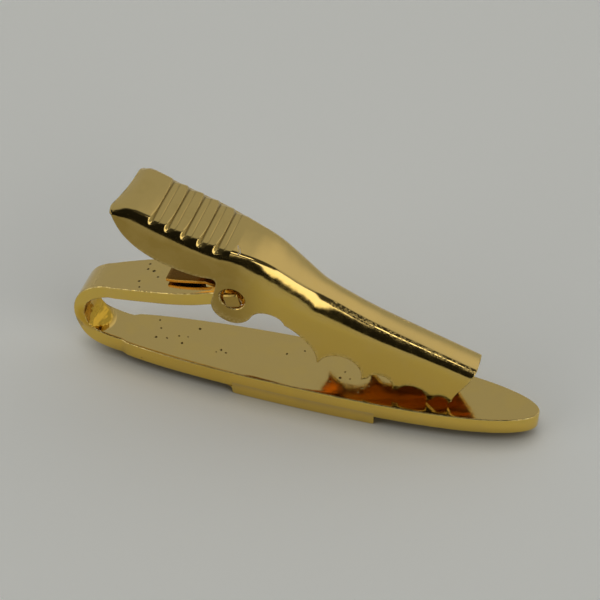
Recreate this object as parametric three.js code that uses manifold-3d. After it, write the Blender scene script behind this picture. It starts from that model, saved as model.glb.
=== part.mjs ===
// Gold-plated alligator clip: a folded strip, a toothed sheet-metal lever that
// turns on a pin across the strip's end, a folded leaf spring between them, and
// a raised panel on the front (under) face. Millimetres, +Z up.
// X runs along the clip with the plate's rounded tip at +X, Y is across it, and
// the clip rests on its front panel at z = 0. The jaw is closed.
import * as THREE from 'three';
import { mergeVertices } from 'three/addons/utils/BufferGeometryUtils.js';
import Module from 'manifold-3d';

const wasm = await Module();
wasm.setup();

const { degToRad, lerp, smoothstep } = THREE.MathUtils;

// ---------------------------------------------------------------- dimensions
const TIP_X = 19; // the clip is 38 long, centred on x = 0

// Strip: plate, bend and arm are one piece of metal
const PLATE_TOP = 2.3;
const PLATE_THICK = 1.5;
const ARM_THICK = 1.2;
const EDGE_BEVEL = 0.13;

// The boat-shaped plate would come to a point TIP_BLUNT beyond its tip. At a
// distance d from that point its half-width is the root of this cubic times d
const TIP_BLUNT = 0.06;
const PLATE_CUBIC = [1.33, -0.0765, 0.00194, -0.0000226];
const NECK_FROM = 30; // distances from the tip over which the plate meets the bend's width
const NECK_TO = 36;

// Bend: its middle line in x and z, and its thickness along that line, where
// it is coined thinner than the plate and the arm
const BEND_HALF = 1.5;
const BEND_START_X = -14.6;
const BEND_LINE = [[-15.2, 1.56], [-16.4, 1.76], [-17.75, 2.42], [-18.36, 3.4], [-18.55, 4.5],
  [-18.31, 5.55], [-17.63, 6.47], [-16.7, 7.05], [-15.9, 7.33]];
const BEND_THICK = [[0, PLATE_THICK], [0.25, 1.4], [0.4, 0.95], [0.65, 0.92], [0.85, 1.15], [1, ARM_THICK]];

// Arm: its middle line starts here and rises to the pivot
const ARM_START_X = -15.2;
const ARM_START_Z = 7.5;
const ARM_SLOPE = degToRad(13.66);
const ARM_END_HALF = 2.12;
const ARM_HALF = [[-16, 1.58], [-9.6, 2.28], [-8.5, 2.28], [-6.5, ARM_END_HALF]];

// Pivot
const PIVOT_X = -4.75;
const PIVOT_Z = 10.5;
const PIN_RADIUS = 0.5;
const PIN_PLAY = 0.06;
const PIN_HEAD_SIDE = 1.24; // its squared ends stand in the ears' round holes
const PIN_HEAD_IN = 2.14;
const PIN_HEAD_OUT = 2.95;
const KNUCKLE_RADIUS = 1.1;
const SLOT_HALF = 1.42; // the knuckles leave this much room for the spring
const SLOT_REACH = 2.7;

// Front panel, let into a shallow seat across the plate
const PANEL_FROM_X = -5.2;
const PANEL_TO_X = 6.55;
const PANEL_THICK = 1.25;

// Lever, in its own axes: u along it towards the nose, v up, pivot at 0, 0
const LEVER_PITCH = degToRad(19);
const SHEET = 0.3;
const GRIP_END_U = -10.72;
const NOSE_END_U = 19.35;
const NOSE_CUT = 0.02; // taken off the nose's end to square it
const SKIRT_V = -5; // the flanges are made down to here, then trimmed
const LEVER_HALF = [[GRIP_END_U, 3.0], [-5, 2.8], [0, 2.6], [2, 2.53], [4, 2.3], [6, 2.0],
  [8, 1.8], [11, 1.66], [NOSE_END_U, 1.45]];
const LEVER_CREST = [[GRIP_END_U, 3.6], [-10.3, 3.82], [-9.6, 3.98], [-8.6, 4.12], [-7.4, 4.2], [0, 4.15],
  [1.5, 4.0], [3, 3.65], [5, 3.03], [7, 2.53], [8.5, 2.3], [11, 2.12], [NOSE_END_U, 2.05]];
// The shoulder between flange and crest is a quarter ellipse, this deep and wide
const SHOULDER_DROP = [[GRIP_END_U, 0.6], [-9, 1.2], [-7, 1.45], [-3, 1.35], [0, 1.6], [2, 1.8],
  [4, 2.0], [6, 1.85], [8.4, 1.35], [11, 1.05], [NOSE_END_U, 0.85]];
const SHOULDER_RUN = [[GRIP_END_U, 1.3], [-3, 1.4], [0, 1.55], [2, 1.8], [4, 2.0], [6, 1.9], [8, 1.79]];
const LEAST_DROP = 0.2;

const GRIP_END_V = 3.28; // the flanges' lower edge starts this high at the grip's end
const GRIP_END_SWEEP = 18; // radius of the shallow hollow in the grip's end edge
const GRIP_END_HOLLOW = 0.25;
const EAR_U = 0.2;
const EAR_V = -0.85;
const EAR_RADIUS = 1.65;
const SCALLOPS = [[9.85, -3.6, 1.79], [13.08, -3.1, 1.05], [15.75, -2.92, 1.2], [17.9, -2.15, 0.62]];
const SCALLOP_TILT = 0.1; // each arc stops this angle short of a half circle, at both ends

const EAR_HOLE_RADIUS = 0.95;
const EAR_HOLE_CHAMFER = 0.1;

const RIB_COUNT = 5;
const RIB_PITCH = 1.31;
const RIB_START_U = -8.05;
const RIB_DEPTH = 0.17;
const RIB_STEP = 0.08; // the steep side of a rib takes up this length

// Leaf spring, folded round the pin: its lower leg as distance back along the
// arm and height above the arm's middle line, its upper end in u and v
const LEAF = 0.26;
const LEAF_BEVEL = 0.03;
const LEAF_HALF = 1.3;
const LEAF_TIP_HALF = 1.0;
const FOLD_RADIUS = 0.76;
const LOWER_LEG = [[6.1, 0.46], [4.4, 0.5], [2.6, 0.47]];
const UPPER_END = [-6.5, 3.4];

// Numbers of straight pieces that stand for the curves
const PLATE_STEPS = 44;
const PLATE_CROWDING = 1.7; // above 1, the plate's steps are closer near the tip
const PANEL_STEPS = 16;
const BEND_STEPS = 26;
const ARM_STEPS = 12;
const SHOULDER_STEPS = 8;
const FOLD_STEPS = 12;
const ROUND_STEPS = 24;
const SWEEP_STEPS = 160;
const OUTLINE_STEPS = 9;

const SMALL = 0.01;
const BEYOND = 4; // reach of a cutting solid past the middle: more than any half-width
const ABOVE = 6; // higher than the lever's crest

// ------------------------------------------------------------------- helpers
// Value at t on the broken line through [t, value] pairs
function along(table, t) {
  const last = table.length - 1;
  if (t <= table[0][0]) return table[0][1];
  if (t >= table[last][0]) return table[last][1];
  const i = table.findIndex((row) => row[0] > t) - 1;
  const [t0, v0] = table[i];
  const [t1, v1] = table[i + 1];
  return lerp(v0, v1, (t - t0) / (t1 - t0));
}

// Values of make(0) to make(1) in equal steps
function inSteps(steps, make) {
  return Array.from({ length: steps + 1 }, (_, i) => make(i / steps));
}

function fromTriangles(vertices, triangles) {
  const geometry = new THREE.BufferGeometry();
  geometry.setAttribute('position', new THREE.Float32BufferAttribute(vertices.flat(), 3));
  geometry.setIndex(triangles.flat());
  return geometry;
}

function toSolid(geometry) {
  const plain = geometry.clone();
  plain.deleteAttribute('normal');
  plain.deleteAttribute('uv');
  const merged = mergeVertices(plain, 1e-5);
  return new wasm.Manifold(new wasm.Mesh({
    numProp: 3,
    vertProperties: new Float32Array(merged.attributes.position.array),
    triVerts: new Uint32Array(merged.index.array),
  }));
}

function toGeometry(solid) {
  const mesh = solid.getMesh();
  const geometry = new THREE.BufferGeometry();
  geometry.setAttribute('position', new THREE.BufferAttribute(new Float32Array(mesh.vertProperties), 3));
  geometry.setIndex(new THREE.BufferAttribute(new Uint32Array(mesh.triVerts), 1));
  return geometry;
}

// Skin through rings of equal point count; capTriangles closes one end's ring
function loft(rings, capTriangles) {
  const count = rings[0].length;
  const triangles = [];
  for (let r = 0; r + 1 < rings.length; r += 1) {
    for (let i = 0; i < count; i += 1) {
      const a = r * count + i;
      const b = r * count + ((i + 1) % count);
      triangles.push([a, b, b + count], [a, b + count, a + count]);
    }
  }
  const end = (rings.length - 1) * count;
  for (const [a, b, c] of capTriangles) {
    triangles.push([a, c, b], [end + a, end + b, end + c]);
  }
  return fromTriangles(rings.flat(), triangles);
}

// Triangles of a fan over a convex ring
function fan(count) {
  return Array.from({ length: count - 2 }, (_, i) => [0, i + 1, i + 2]);
}

function box(x0, x1, y0, y1, z0, z1) {
  const geometry = new THREE.BoxGeometry(x1 - x0, y1 - y0, z1 - z0);
  geometry.translate((x0 + x1) / 2, (y0 + y1) / 2, (z0 + z1) / 2);
  return geometry;
}

// Cylinder or cone frustum along Y, from y0 to y1
function roundAlongY(radius0, radius1, y0, y1) {
  const geometry = new THREE.CylinderGeometry(radius1, radius0, y1 - y0, ROUND_STEPS);
  geometry.translate(0, (y0 + y1) / 2, 0);
  return geometry;
}

// Cutter for a hole right across the clip
function bore(radius) {
  return roundAlongY(radius, radius, -BEYOND, BEYOND);
}

// Flat-sided strip with bevelled edges, swept along stations in the XZ plane.
// Each station is { x, z, thick, half, bevel }; the strip's own up is to the
// left of its direction of travel.
function sweptStrip(stations) {
  const rings = stations.map((here, i) => {
    const before = stations[Math.max(i - 1, 0)];
    const after = stations[Math.min(i + 1, stations.length - 1)];
    const run = Math.hypot(after.x - before.x, after.z - before.z);
    const nx = -(after.z - before.z) / run;
    const nz = (after.x - before.x) / run;
    const h = here.thick / 2;
    const c = Math.min(here.bevel, here.half / 2);
    const outline = [
      [-here.half, -h + c], [-here.half + c, -h], [here.half - c, -h], [here.half, -h + c],
      [here.half, h - c], [here.half - c, h], [-here.half + c, h], [-here.half, h - c],
    ];
    return outline.map(([y, n]) => [here.x + nx * n, y, here.z + nz * n]);
  });
  return loft(rings, fan(rings[0].length));
}

// --------------------------------------------------------------------- strip
function plateHalf(x) {
  const d = TIP_X + TIP_BLUNT - x;
  const [a, b, c, e] = PLATE_CUBIC;
  return Math.sqrt(Math.max(d * (a + d * (b + d * (c + d * e))), 0));
}

function plateStations() {
  return inSteps(PLATE_STEPS, (t) => {
    const x = TIP_X - (TIP_X - BEND_START_X) * t ** PLATE_CROWDING;
    return {
      x,
      z: PLATE_TOP - PLATE_THICK / 2,
      thick: PLATE_THICK,
      half: Math.max(plateHalf(x), BEND_HALF * smoothstep(TIP_X - x, NECK_FROM, NECK_TO)),
      bevel: EDGE_BEVEL,
    };
  });
}

function bendStations() {
  const line = BEND_LINE.map(([x, z]) => new THREE.Vector3(x, 0, z));
  const curve = new THREE.CatmullRomCurve3(line, false, 'centripetal');
  return inSteps(BEND_STEPS, (t) => {
    const point = curve.getPointAt(t);
    return { x: point.x, z: point.z, thick: along(BEND_THICK, t), half: BEND_HALF, bevel: EDGE_BEVEL };
  });
}

function armStations() {
  return inSteps(ARM_STEPS, (t) => {
    const x = lerp(ARM_START_X, PIVOT_X, t);
    const z = ARM_START_Z + (x - ARM_START_X) * Math.tan(ARM_SLOPE);
    return { x, z, thick: ARM_THICK, half: along(ARM_HALF, x), bevel: EDGE_BEVEL };
  });
}

function makeStrip() {
  const strip = toSolid(sweptStrip([...plateStations(), ...bendStations(), ...armStations()]));
  const knuckle = roundAlongY(KNUCKLE_RADIUS, KNUCKLE_RADIUS, -ARM_END_HALF, ARM_END_HALF);
  const pinHole = bore(PIN_RADIUS + PIN_PLAY);
  const slot = box(-SLOT_REACH, BEYOND, -SLOT_HALF, SLOT_HALF, -BEYOND, BEYOND);
  slot.rotateY(-ARM_SLOPE);
  for (const geometry of [knuckle, pinHole, slot]) geometry.translate(PIVOT_X, 0, PIVOT_Z);
  const seat = box(PANEL_FROM_X, PANEL_TO_X, -BEYOND, BEYOND, -PANEL_THICK, PANEL_THICK);
  return toGeometry(strip.add(toSolid(knuckle)).subtract(toSolid(pinHole))
    .subtract(toSolid(slot)).subtract(toSolid(seat)));
}

// --------------------------------------------------------------------- panel
function makePanel() {
  return sweptStrip(inSteps(PANEL_STEPS, (t) => {
    const x = lerp(PANEL_TO_X, PANEL_FROM_X, t);
    return { x, z: PANEL_THICK / 2, thick: PANEL_THICK, half: plateHalf(x), bevel: EDGE_BEVEL };
  }));
}

// --------------------------------------------------------------------- lever
// Depth of the saw-tooth ribs across the grip
function ribCut(u) {
  const t = (u - RIB_START_U) / RIB_PITCH;
  if (t < 0 || t >= RIB_COUNT) return 0;
  return RIB_DEPTH * (1 - (t - Math.floor(t)));
}

// Half of the section from the skirt's foot over the shoulder to the crest
function halfSection(u, inset) {
  const half = along(LEVER_HALF, u) - inset;
  const crest = along(LEVER_CREST, u) - ribCut(u) - inset;
  const drop = Math.max(along(SHOULDER_DROP, u) - ribCut(u) - inset, LEAST_DROP);
  const run = Math.min(along(SHOULDER_RUN, u), half + inset - 2 * SMALL) - inset;
  const shoulder = inSteps(SHOULDER_STEPS, (t) => {
    const angle = t * Math.PI / 2;
    return [-half + run * (1 - Math.cos(angle)), crest - drop * (1 - Math.sin(angle))];
  });
  return [[-half, SKIRT_V], ...shoulder];
}

function leverRing(u) {
  const mirrored = (points) => points.map(([y, v]) => [-y, v]).reverse();
  const outer = halfSection(u, 0);
  const inner = halfSection(u, SHEET);
  const outline = [...inner, ...mirrored(inner), ...outer.concat(mirrored(outer)).reverse()];
  return outline.map(([y, v]) => [u, y, v]);
}

// Stations: every break of the tables, both sides of every rib step, and a few
// more through the taper
function leverStations() {
  const us = [...LEVER_HALF, ...LEVER_CREST, ...SHOULDER_DROP].map((row) => row[0]);
  for (let u = 0.5; u < 10; u += 0.5) us.push(u);
  for (let i = 0; i <= RIB_COUNT; i += 1) {
    const step = RIB_START_U + i * RIB_PITCH;
    us.push(step - RIB_STEP, step + SMALL);
  }
  const sorted = [...new Set(us)].sort((a, b) => a - b);
  return sorted.filter((u, i) => i === 0 || u - sorted[i - 1] > 5 * SMALL);
}

function channel() {
  const rings = leverStations().map(leverRing);
  const count = rings[0].length;
  const cap = [];
  for (let i = 0; i + 1 < count / 2; i += 1) {
    const far = count - 1 - i;
    cap.push([i, i + 1, far - 1], [i, far - 1, far]);
  }
  return toSolid(loft(rings, cap));
}

// Side outline that trims the channel: curved grip edge, ear, jaw and teeth
function leverOutline() {
  const shape = new THREE.Shape();
  shape.moveTo(GRIP_END_U - 1, ABOVE);
  shape.lineTo(GRIP_END_U - 1, GRIP_END_V);
  shape.lineTo(GRIP_END_U, GRIP_END_V);
  shape.quadraticCurveTo(-9.2, 0.75, -5.5, 0.61);
  shape.lineTo(-4.1, 0.72);
  shape.lineTo(-1.95, 1.1);
  shape.lineTo(EAR_U - EAR_RADIUS, EAR_V);
  shape.absarc(EAR_U, EAR_V, EAR_RADIUS, Math.PI, 2 * Math.PI - 0.2, false);
  shape.quadraticCurveTo(1.95, -0.25, 3.0, -0.17);
  shape.quadraticCurveTo(4.0, -0.1, 4.4, -0.75);
  shape.quadraticCurveTo(5.7, -1.1, 7.0, -2.1);
  shape.quadraticCurveTo(7.6, -2.6, 7.95, -3.5);
  for (const [u, v, r] of SCALLOPS) {
    shape.absarc(u, v, r, Math.PI - SCALLOP_TILT, SCALLOP_TILT, true);
  }
  shape.lineTo(18.57, -1.62);
  shape.lineTo(18.62, -0.6);
  shape.lineTo(18.78, 0.2);
  shape.lineTo(NOSE_END_U - NOSE_CUT, 2.1);
  shape.lineTo(NOSE_END_U - NOSE_CUT, ABOVE);
  const prism = new THREE.ExtrudeGeometry(shape, {
    depth: 2 * BEYOND,
    bevelEnabled: false,
    curveSegments: OUTLINE_STEPS,
  });
  prism.translate(0, 0, -BEYOND);
  prism.rotateX(Math.PI / 2);
  return toSolid(prism);
}

// The round tool that hollows the grip's end edge, seen from above
function gripEndCutter() {
  const hollow = new THREE.CylinderGeometry(GRIP_END_SWEEP, GRIP_END_SWEEP, 2 * BEYOND, SWEEP_STEPS);
  hollow.rotateX(Math.PI / 2);
  hollow.translate(GRIP_END_U + GRIP_END_HOLLOW - GRIP_END_SWEEP, 0, GRIP_END_V);
  return toSolid(hollow);
}

// The cone that chamfers an ear's hole on its outer face, on the side of the sign
function chamferCutter(side) {
  const face = along(LEVER_HALF, 0);
  const wide = EAR_HOLE_RADIUS + EAR_HOLE_CHAMFER + 1;
  const cone = roundAlongY(EAR_HOLE_RADIUS, wide, face - EAR_HOLE_CHAMFER, face + 1);
  if (side < 0) cone.rotateZ(Math.PI);
  return toSolid(cone);
}

function makeLever() {
  const lever = channel().intersect(leverOutline()).subtract(gripEndCutter())
    .subtract(toSolid(bore(EAR_HOLE_RADIUS)))
    .subtract(chamferCutter(-1))
    .subtract(chamferCutter(1));
  return toGeometry(lever);
}

// ----------------------------------------------------------------------- pin
function makePin() {
  const shaftHalf = PIN_HEAD_IN + SMALL;
  let pin = toSolid(roundAlongY(PIN_RADIUS, PIN_RADIUS, -shaftHalf, shaftHalf));
  const side = PIN_HEAD_SIDE / 2;
  for (const [y0, y1] of [[-PIN_HEAD_OUT, -PIN_HEAD_IN], [PIN_HEAD_IN, PIN_HEAD_OUT]]) {
    pin = pin.add(toSolid(box(-side, side, y0, y1, -side, side)));
  }
  return toGeometry(pin);
}

// -------------------------------------------------------------------- spring
// Angle where a line from a point meets the fold circle, on the given side
function tangentAngle(point, side) {
  return Math.atan2(point.z, point.x) + side * Math.acos(FOLD_RADIUS / Math.hypot(point.x, point.z));
}

// Points relative to the pin's centre, from the lower leg's end to the upper's
function springLine() {
  const lower = LOWER_LEG.map(([back, lift]) => ({
    x: -back * Math.cos(ARM_SLOPE) - lift * Math.sin(ARM_SLOPE),
    z: -back * Math.sin(ARM_SLOPE) + lift * Math.cos(ARM_SLOPE),
  }));
  const [u, v] = UPPER_END;
  const upper = {
    x: u * Math.cos(LEVER_PITCH) + v * Math.sin(LEVER_PITCH),
    z: -u * Math.sin(LEVER_PITCH) + v * Math.cos(LEVER_PITCH),
  };
  const leaves = tangentAngle(lower[lower.length - 1], 1);
  const from = leaves < 0 ? leaves + 2 * Math.PI : leaves;
  const to = tangentAngle(upper, -1) + 2 * Math.PI;
  const fold = inSteps(FOLD_STEPS, (t) => {
    const angle = lerp(from, to, t);
    return { x: FOLD_RADIUS * Math.cos(angle), z: FOLD_RADIUS * Math.sin(angle) };
  });
  return [...lower, ...fold, upper];
}

function makeSpring() {
  const line = springLine();
  return sweptStrip(line.map((point, i) => ({
    ...point,
    thick: LEAF,
    half: i === 0 || i === line.length - 1 ? LEAF_TIP_HALF : LEAF_HALF,
    bevel: LEAF_BEVEL,
  })));
}

// ------------------------------------------------------------------ assembly
const object = new THREE.Group();

function addPiece(name, geometry, material, parent = object) {
  const mesh = new THREE.Mesh(geometry, new THREE.MeshStandardMaterial(material));
  mesh.name = name;
  parent.add(mesh);
  return mesh;
}

const GOLD = { color: 0xc9a44a, roughness: 0.18, metalness: 1 };
const BRONZE = { color: 0xb06a2c, roughness: 0.3, metalness: 1 };

addPiece('base_strip', makeStrip(), GOLD);
addPiece('front_panel', makePanel(), { ...GOLD, color: 0xc4a048 });

const pivot = new THREE.Group();
pivot.position.set(PIVOT_X, 0, PIVOT_Z);
object.add(pivot);

const leverAxes = new THREE.Group();
leverAxes.rotation.y = LEVER_PITCH;
pivot.add(leverAxes);

addPiece('jaw_lever', makeLever(), { ...GOLD, color: 0xcfaa50 }, leverAxes);
addPiece('hinge_pin', makePin(), { ...GOLD, color: 0xb8923e }, pivot).rotation.y = -ARM_SLOPE;
addPiece('leaf_spring', makeSpring(), BRONZE, pivot);

export default object;
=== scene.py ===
"""Gold-plated alligator clip on a pale floor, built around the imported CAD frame."""

import itertools
import math

import bmesh
import bpy
import numpy as np
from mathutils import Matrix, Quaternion, Vector


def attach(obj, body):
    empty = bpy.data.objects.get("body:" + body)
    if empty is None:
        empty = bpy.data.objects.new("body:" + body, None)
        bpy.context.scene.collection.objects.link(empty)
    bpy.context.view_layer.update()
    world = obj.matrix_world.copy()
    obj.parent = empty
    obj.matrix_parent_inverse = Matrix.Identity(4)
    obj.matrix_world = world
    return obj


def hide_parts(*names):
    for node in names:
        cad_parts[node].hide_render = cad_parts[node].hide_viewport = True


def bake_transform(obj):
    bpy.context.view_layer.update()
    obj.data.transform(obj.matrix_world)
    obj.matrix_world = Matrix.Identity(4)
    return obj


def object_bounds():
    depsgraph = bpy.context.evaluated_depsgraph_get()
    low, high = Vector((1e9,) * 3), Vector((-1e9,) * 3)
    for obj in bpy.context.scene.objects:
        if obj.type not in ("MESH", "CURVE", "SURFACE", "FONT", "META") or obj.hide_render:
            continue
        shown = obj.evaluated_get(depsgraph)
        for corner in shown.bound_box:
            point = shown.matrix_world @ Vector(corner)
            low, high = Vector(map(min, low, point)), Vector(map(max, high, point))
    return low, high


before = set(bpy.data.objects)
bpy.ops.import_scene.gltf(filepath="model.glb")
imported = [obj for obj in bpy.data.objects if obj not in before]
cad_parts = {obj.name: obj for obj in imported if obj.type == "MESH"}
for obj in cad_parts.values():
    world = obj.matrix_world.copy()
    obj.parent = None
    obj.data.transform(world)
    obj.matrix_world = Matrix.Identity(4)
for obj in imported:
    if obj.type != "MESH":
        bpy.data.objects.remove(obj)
CAD_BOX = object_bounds()

MM = 0.001

# ---- dimensions
# Millimetres, in the CAD frame: X along the clip, Y across it, Z up

# Plate: at a distance d from its tip the half-width is the root of a cubic times d. Between the neck's two
# distances it turns into the bend's
TIP_X = 19.06
PLATE_TOP = 2.3
PLATE_THICK = 1.5
PLATE_FACE = PLATE_TOP - PLATE_THICK
PLATE_CUBIC = (1.33, -0.0765, 0.00194, -0.0000226)
NECK_FROM, NECK_TO = 30.0, 36.0
STRIP_EDGE = 0.09

# The plate's top curls up by DISH times the square of the distance past DISH_FROM_Y. The curl comes in and
# goes out again over two stretches of x
DISH, DISH_FROM_Y = 0.035, 1.9
DISH_COMES_IN, DISH_GOES_OUT = (-13, -10), (1.5, 4.0)
DISH_MARGIN = 0.01

# Bend: its middle line (x, z), and (share of its length, thickness) rows
BEND_HALF = 1.5
BEND_START_X = -14.6
BEND_LINE = ((-15.1, 1.55), (-15.9, 1.66), (-16.6, 1.84), (-17.2, 2.06), (-17.75, 2.42), (-18.18, 3.0),
             (-18.42, 3.7), (-18.52, 4.5), (-18.31, 5.55), (-17.63, 6.47), (-16.7, 7.05), (-15.9, 7.33))
BEND_THICK = ((0, 1.5), (0.2, 1.42), (0.42, 0.95), (0.65, 0.92), (0.85, 1.15), (1, 1.2))

# Arm: rises at a steady slope to the pivot; (x, half-width) rows
ARM_START_X = -15.2
ARM_START_Z = 7.5
ARM_THICK = 1.2
ARM_SLOPE = math.radians(13.66)
ARM_END_HALF = 2.12
ARM_HALF = ((-16.0, 1.55), (-12.8, 1.95), (-9.6, 2.26), (-8.5, 2.28), (-6.5, ARM_END_HALF),
            (-4, ARM_END_HALF))

# Pivot
PIVOT = (-4.75, 10.5)
KNUCKLE_RADIUS = 1.1
KNUCKLE_EDGE = 0.1
SLOT_HALF = 1.42
SLOT_REACH = 2.7
SLOT_CORNER = 0.3
PIN_RADIUS = 0.5
BORE_ROOM = 0.06
PIN_HEAD_SIDE = 1.24
PIN_HEAD_IN = 2.14
PIN_HEAD_OUT = 2.95
PIN_HEAD_EDGE = 0.2
PIN_INTO_HEAD = 0.1

# Front panel, let into the plate's underside. Its ends and the fillet of solder behind it are rows of
# (distance from the end, height of the lower face)
PANEL_FROM_X, PANEL_TO_X = -5.2, 6.55
PANEL_THICK = 1.25
PANEL_EDGE = 0.06
PANEL_FLAT_FROM = 0.12
PANEL_TIP_END = ((0, 0.12), (0.02, 0.05), (0.06, 0.015), (PANEL_FLAT_FROM, 0.0))
PANEL_TAIL_END = ((0.08, 0.02), (0.02, 0.09), (0.005, 0.25))
SOLDER = ((0, 0.44), (0.04, 0.57), (0.12, 0.69), (0.24, 0.77), (0.38, 0.795))

# How far past the metal the cutters reach
CUTTER_REACH = 4

# Lever, in its own axes: u towards the nose, v up, with the pivot at 0, 0
LEVER_PITCH = math.radians(19)
SHEET = 0.3
SHEET_EDGE = 0.06
GRIP_END_U = -10.72
GRIP_END_V = 3.28
GRIP_END_SWEEP = 18.0       # radius of the hollow cut end, seen from above
GRIP_END_HOLLOW = 0.25
GRIP_END_REACH = 0.12
GRIP_END_SKEW = 0.1
GRIP_END_STRETCH = 1.2
GRIP_CORNER, GRIP_CORNER_Y, GRIP_CORNER_TO_Y = 0.45, 2.1, 3
NOSE_END = ((-1.54, 18.57), (-0.52, 18.62), (0.2, 18.78), (2.1, 19.13))    # (v, u) up the nose's cut end
NOSE_END_STRETCH = 1.6
EAR_U, EAR_V, EAR_RADIUS = 0.2, -0.85, 1.65
EAR_HOLE = 0.95
EAR_HOLE_CHAMFER = 0.1
EAR_HOLE_PAST = 0.4
# Lower edge of the flange, as (control, end, points) of curves that follow each other: from the grip's end to
# the ear, and from the ear to the teeth, which are arcs (u, v, radius)
GRIP_CURVES = (((-9.2, 0.9), (-5.5, 0.81), 44), ((-3.2, 0.8), (-2.25, 1.2), 24),
               ((-1.62, 1.42), (-1.56, 0.65), 8), ((-1.47, -0.2), (EAR_U - EAR_RADIUS, EAR_V), 8))
EAR_ARC, EAR_POINTS = (math.pi, 2 * math.pi - 0.2), 40
JAW_CURVES = (((1.95, -0.15), (3.0, 0.0), 10), ((4.0, 0.07), (4.4, -0.59), 12),
              ((5.7, -0.94), (7.0, -1.96), 16), ((7.6, -2.48), (7.95, -3.4), 12))
SCALLOPS = ((9.85, -3.49, 1.79), (13.08, -3.0, 1.05), (15.75, -2.83, 1.2), (17.9, -2.07, 0.62))
SCALLOP_TILT, SCALLOP_POINTS = 0.1, 26
LEVER_HALF = ((-10.72, 3.0), (-9.5, 3.07), (-8, 3.1), (-4, 3.0), (-2, 2.84), (-1, 2.72), (0, 2.65), (1, 2.66),
              (2, 2.65), (3, 2.57), (4, 2.45), (6, 2.16), (8, 1.92), (11, 1.76), (19.4, 1.53))
# Its section: a crowned crest as far as a crease, a slanted facet below that, and an upright flange
CREASE_Y = ((-10.72, 2.5), (-8, 2.42), (-4, 2.32), (-2, 2.12), (0, 1.86), (2, 1.64), (4, 1.40), (6, 1.10),
            (8, 1.04), (19.4, 1.02))
CREASE_V = ((-10.72, 3.6), (-10.45, 3.8), (-10.1, 3.99), (-9.7, 4.11), (-9.2, 4.17), (-8.4, 4.16), (-7, 4.12),
            (-3, 4.08), (0, 4.07), (1, 4.0), (2, 3.81), (3, 3.5), (4, 3.17), (5, 2.87), (6, 2.62), (7, 2.47),
            (8, 2.36), (9, 2.24), (11, 2.1), (13, 2.06), (19.4, 2.03))
FOOT_V = ((-10.72, 3.3), (-10, 3.24), (-9.5, 3.1), (-9, 2.95), (-8, 2.78), (-7, 2.82), (-5, 2.95), (-3, 3.12),
          (-2, 3.08), (-1, 2.87), (0, 2.6), (1, 2.33), (2, 2.05), (3, 1.79), (4, 1.55), (5, 1.32), (6, 1.12),
          (7, 1.0), (8, 0.97), (9, 1.0), (15, 1.07), (19.4, 1.07))
CROWN = ((-10.72, 0.05), (-8, 0.09), (0, 0.11), (4, 0.14), (8, 0.15), (19.4, 0.13))
CREASE_SOFT = ((-10.72, 0.45), (-9.6, 0.3), (-8, 0.24), (0, 0.24), (3, 0.3), (6, 0.26), (19.4, 0.22))
FOOT_SOFT = 0.2
FACET_BULGE = 0.1

# Saw-tooth ribs across the grip
RIB_COUNT = 5
RIB_PITCH = 1.31
RIB_START_U = -7.68
RIB_DEPTH, RIB_DEPTH_CREASE = 0.12, 0.24    # at the crest's middle and at the creases
RIB_STEP, RIB_STEP_CREASE = 0.1, 0.27       # share of the pitch that the steep side takes up
RIB_SLOPE_POWER = 1.1
RIB_LINE = 0.025                            # depth of the fine line beside each steep side
RIB_LINE_AT, RIB_LINE_WIDTH = 0.36, 0.03    # shares of the pitch
RIB_GROOVE_AT, RIB_GROOVE_WIDTH = -0.02, 0.045
RIB_FADE = (0.03, 0.5)                      # distances below the crease over which the ribs die out

# Leaf spring, folded round the pin
LEAF = 0.26
LEAF_EDGE = 0.04
LEAF_HALF = 1.3
LEAF_TIP_HALF = 1.0
FOLD_RADIUS = 0.76
LEAF_TIP_ROWS = 3
FOLD_POINTS, RISE_POINTS = 36, 30
LOWER_LEG = ((6.1, 0.46), (5.2, 0.485), (4.4, 0.5), (3.4, 0.49), (2.6, 0.47))
UPPER_END = (-6.5, 3.4)

# Small dark specks in the plating: (x, y, radius) on the plate, (x, y, radius) on the arm
PLATE_SPECKS = ((-12.81, 1.46, 0.07), (-12.42, -0.5, 0.1), (-11.51, -0.36, 0.08), (-10.65, 0.13, 0.08),
                (-10.14, -0.57, 0.09), (-9.27, 1.37, 0.11), (-6.82, -0.45, 0.09), (-6.32, -0.66, 0.08),
                (-1.55, 0.58, 0.09), (-0.25, 1.31, 0.07), (3.27, -0.81, 0.1), (-12.39, 0.6, 0.09),
                (-9.9, 0.22, 0.06), (-7.14, -0.78, 0.06), (2.6, -1.34, 0.06), (3.48, -0.07, 0.06),
                (4.06, -0.69, 0.06), (5.23, -1.38, 0.08), (5.7, -1.02, 0.06), (5.03, -1.88, 0.07))
ARM_SPECKS = ((-13.06, 1.28, 0.09), (-12.99, 0.67, 0.1), (-12.38, 0.42, 0.13), (-11.76, -0.3, 0.1),
              (-13.2, -0.79, 0.1), (-12.91, -1.51, 0.08))

# Three scratches side by side across the near crease, each a row of dots
NICK_FROM, NICK_TO = (-4.52, -1.3, 14.8), (-4.29, -1.98, 14.6)
NICK_LINES = (-0.15, -0.02, 0.13)
NICK_DOTS = 11
NICK_RADIUS = 0.036

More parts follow.
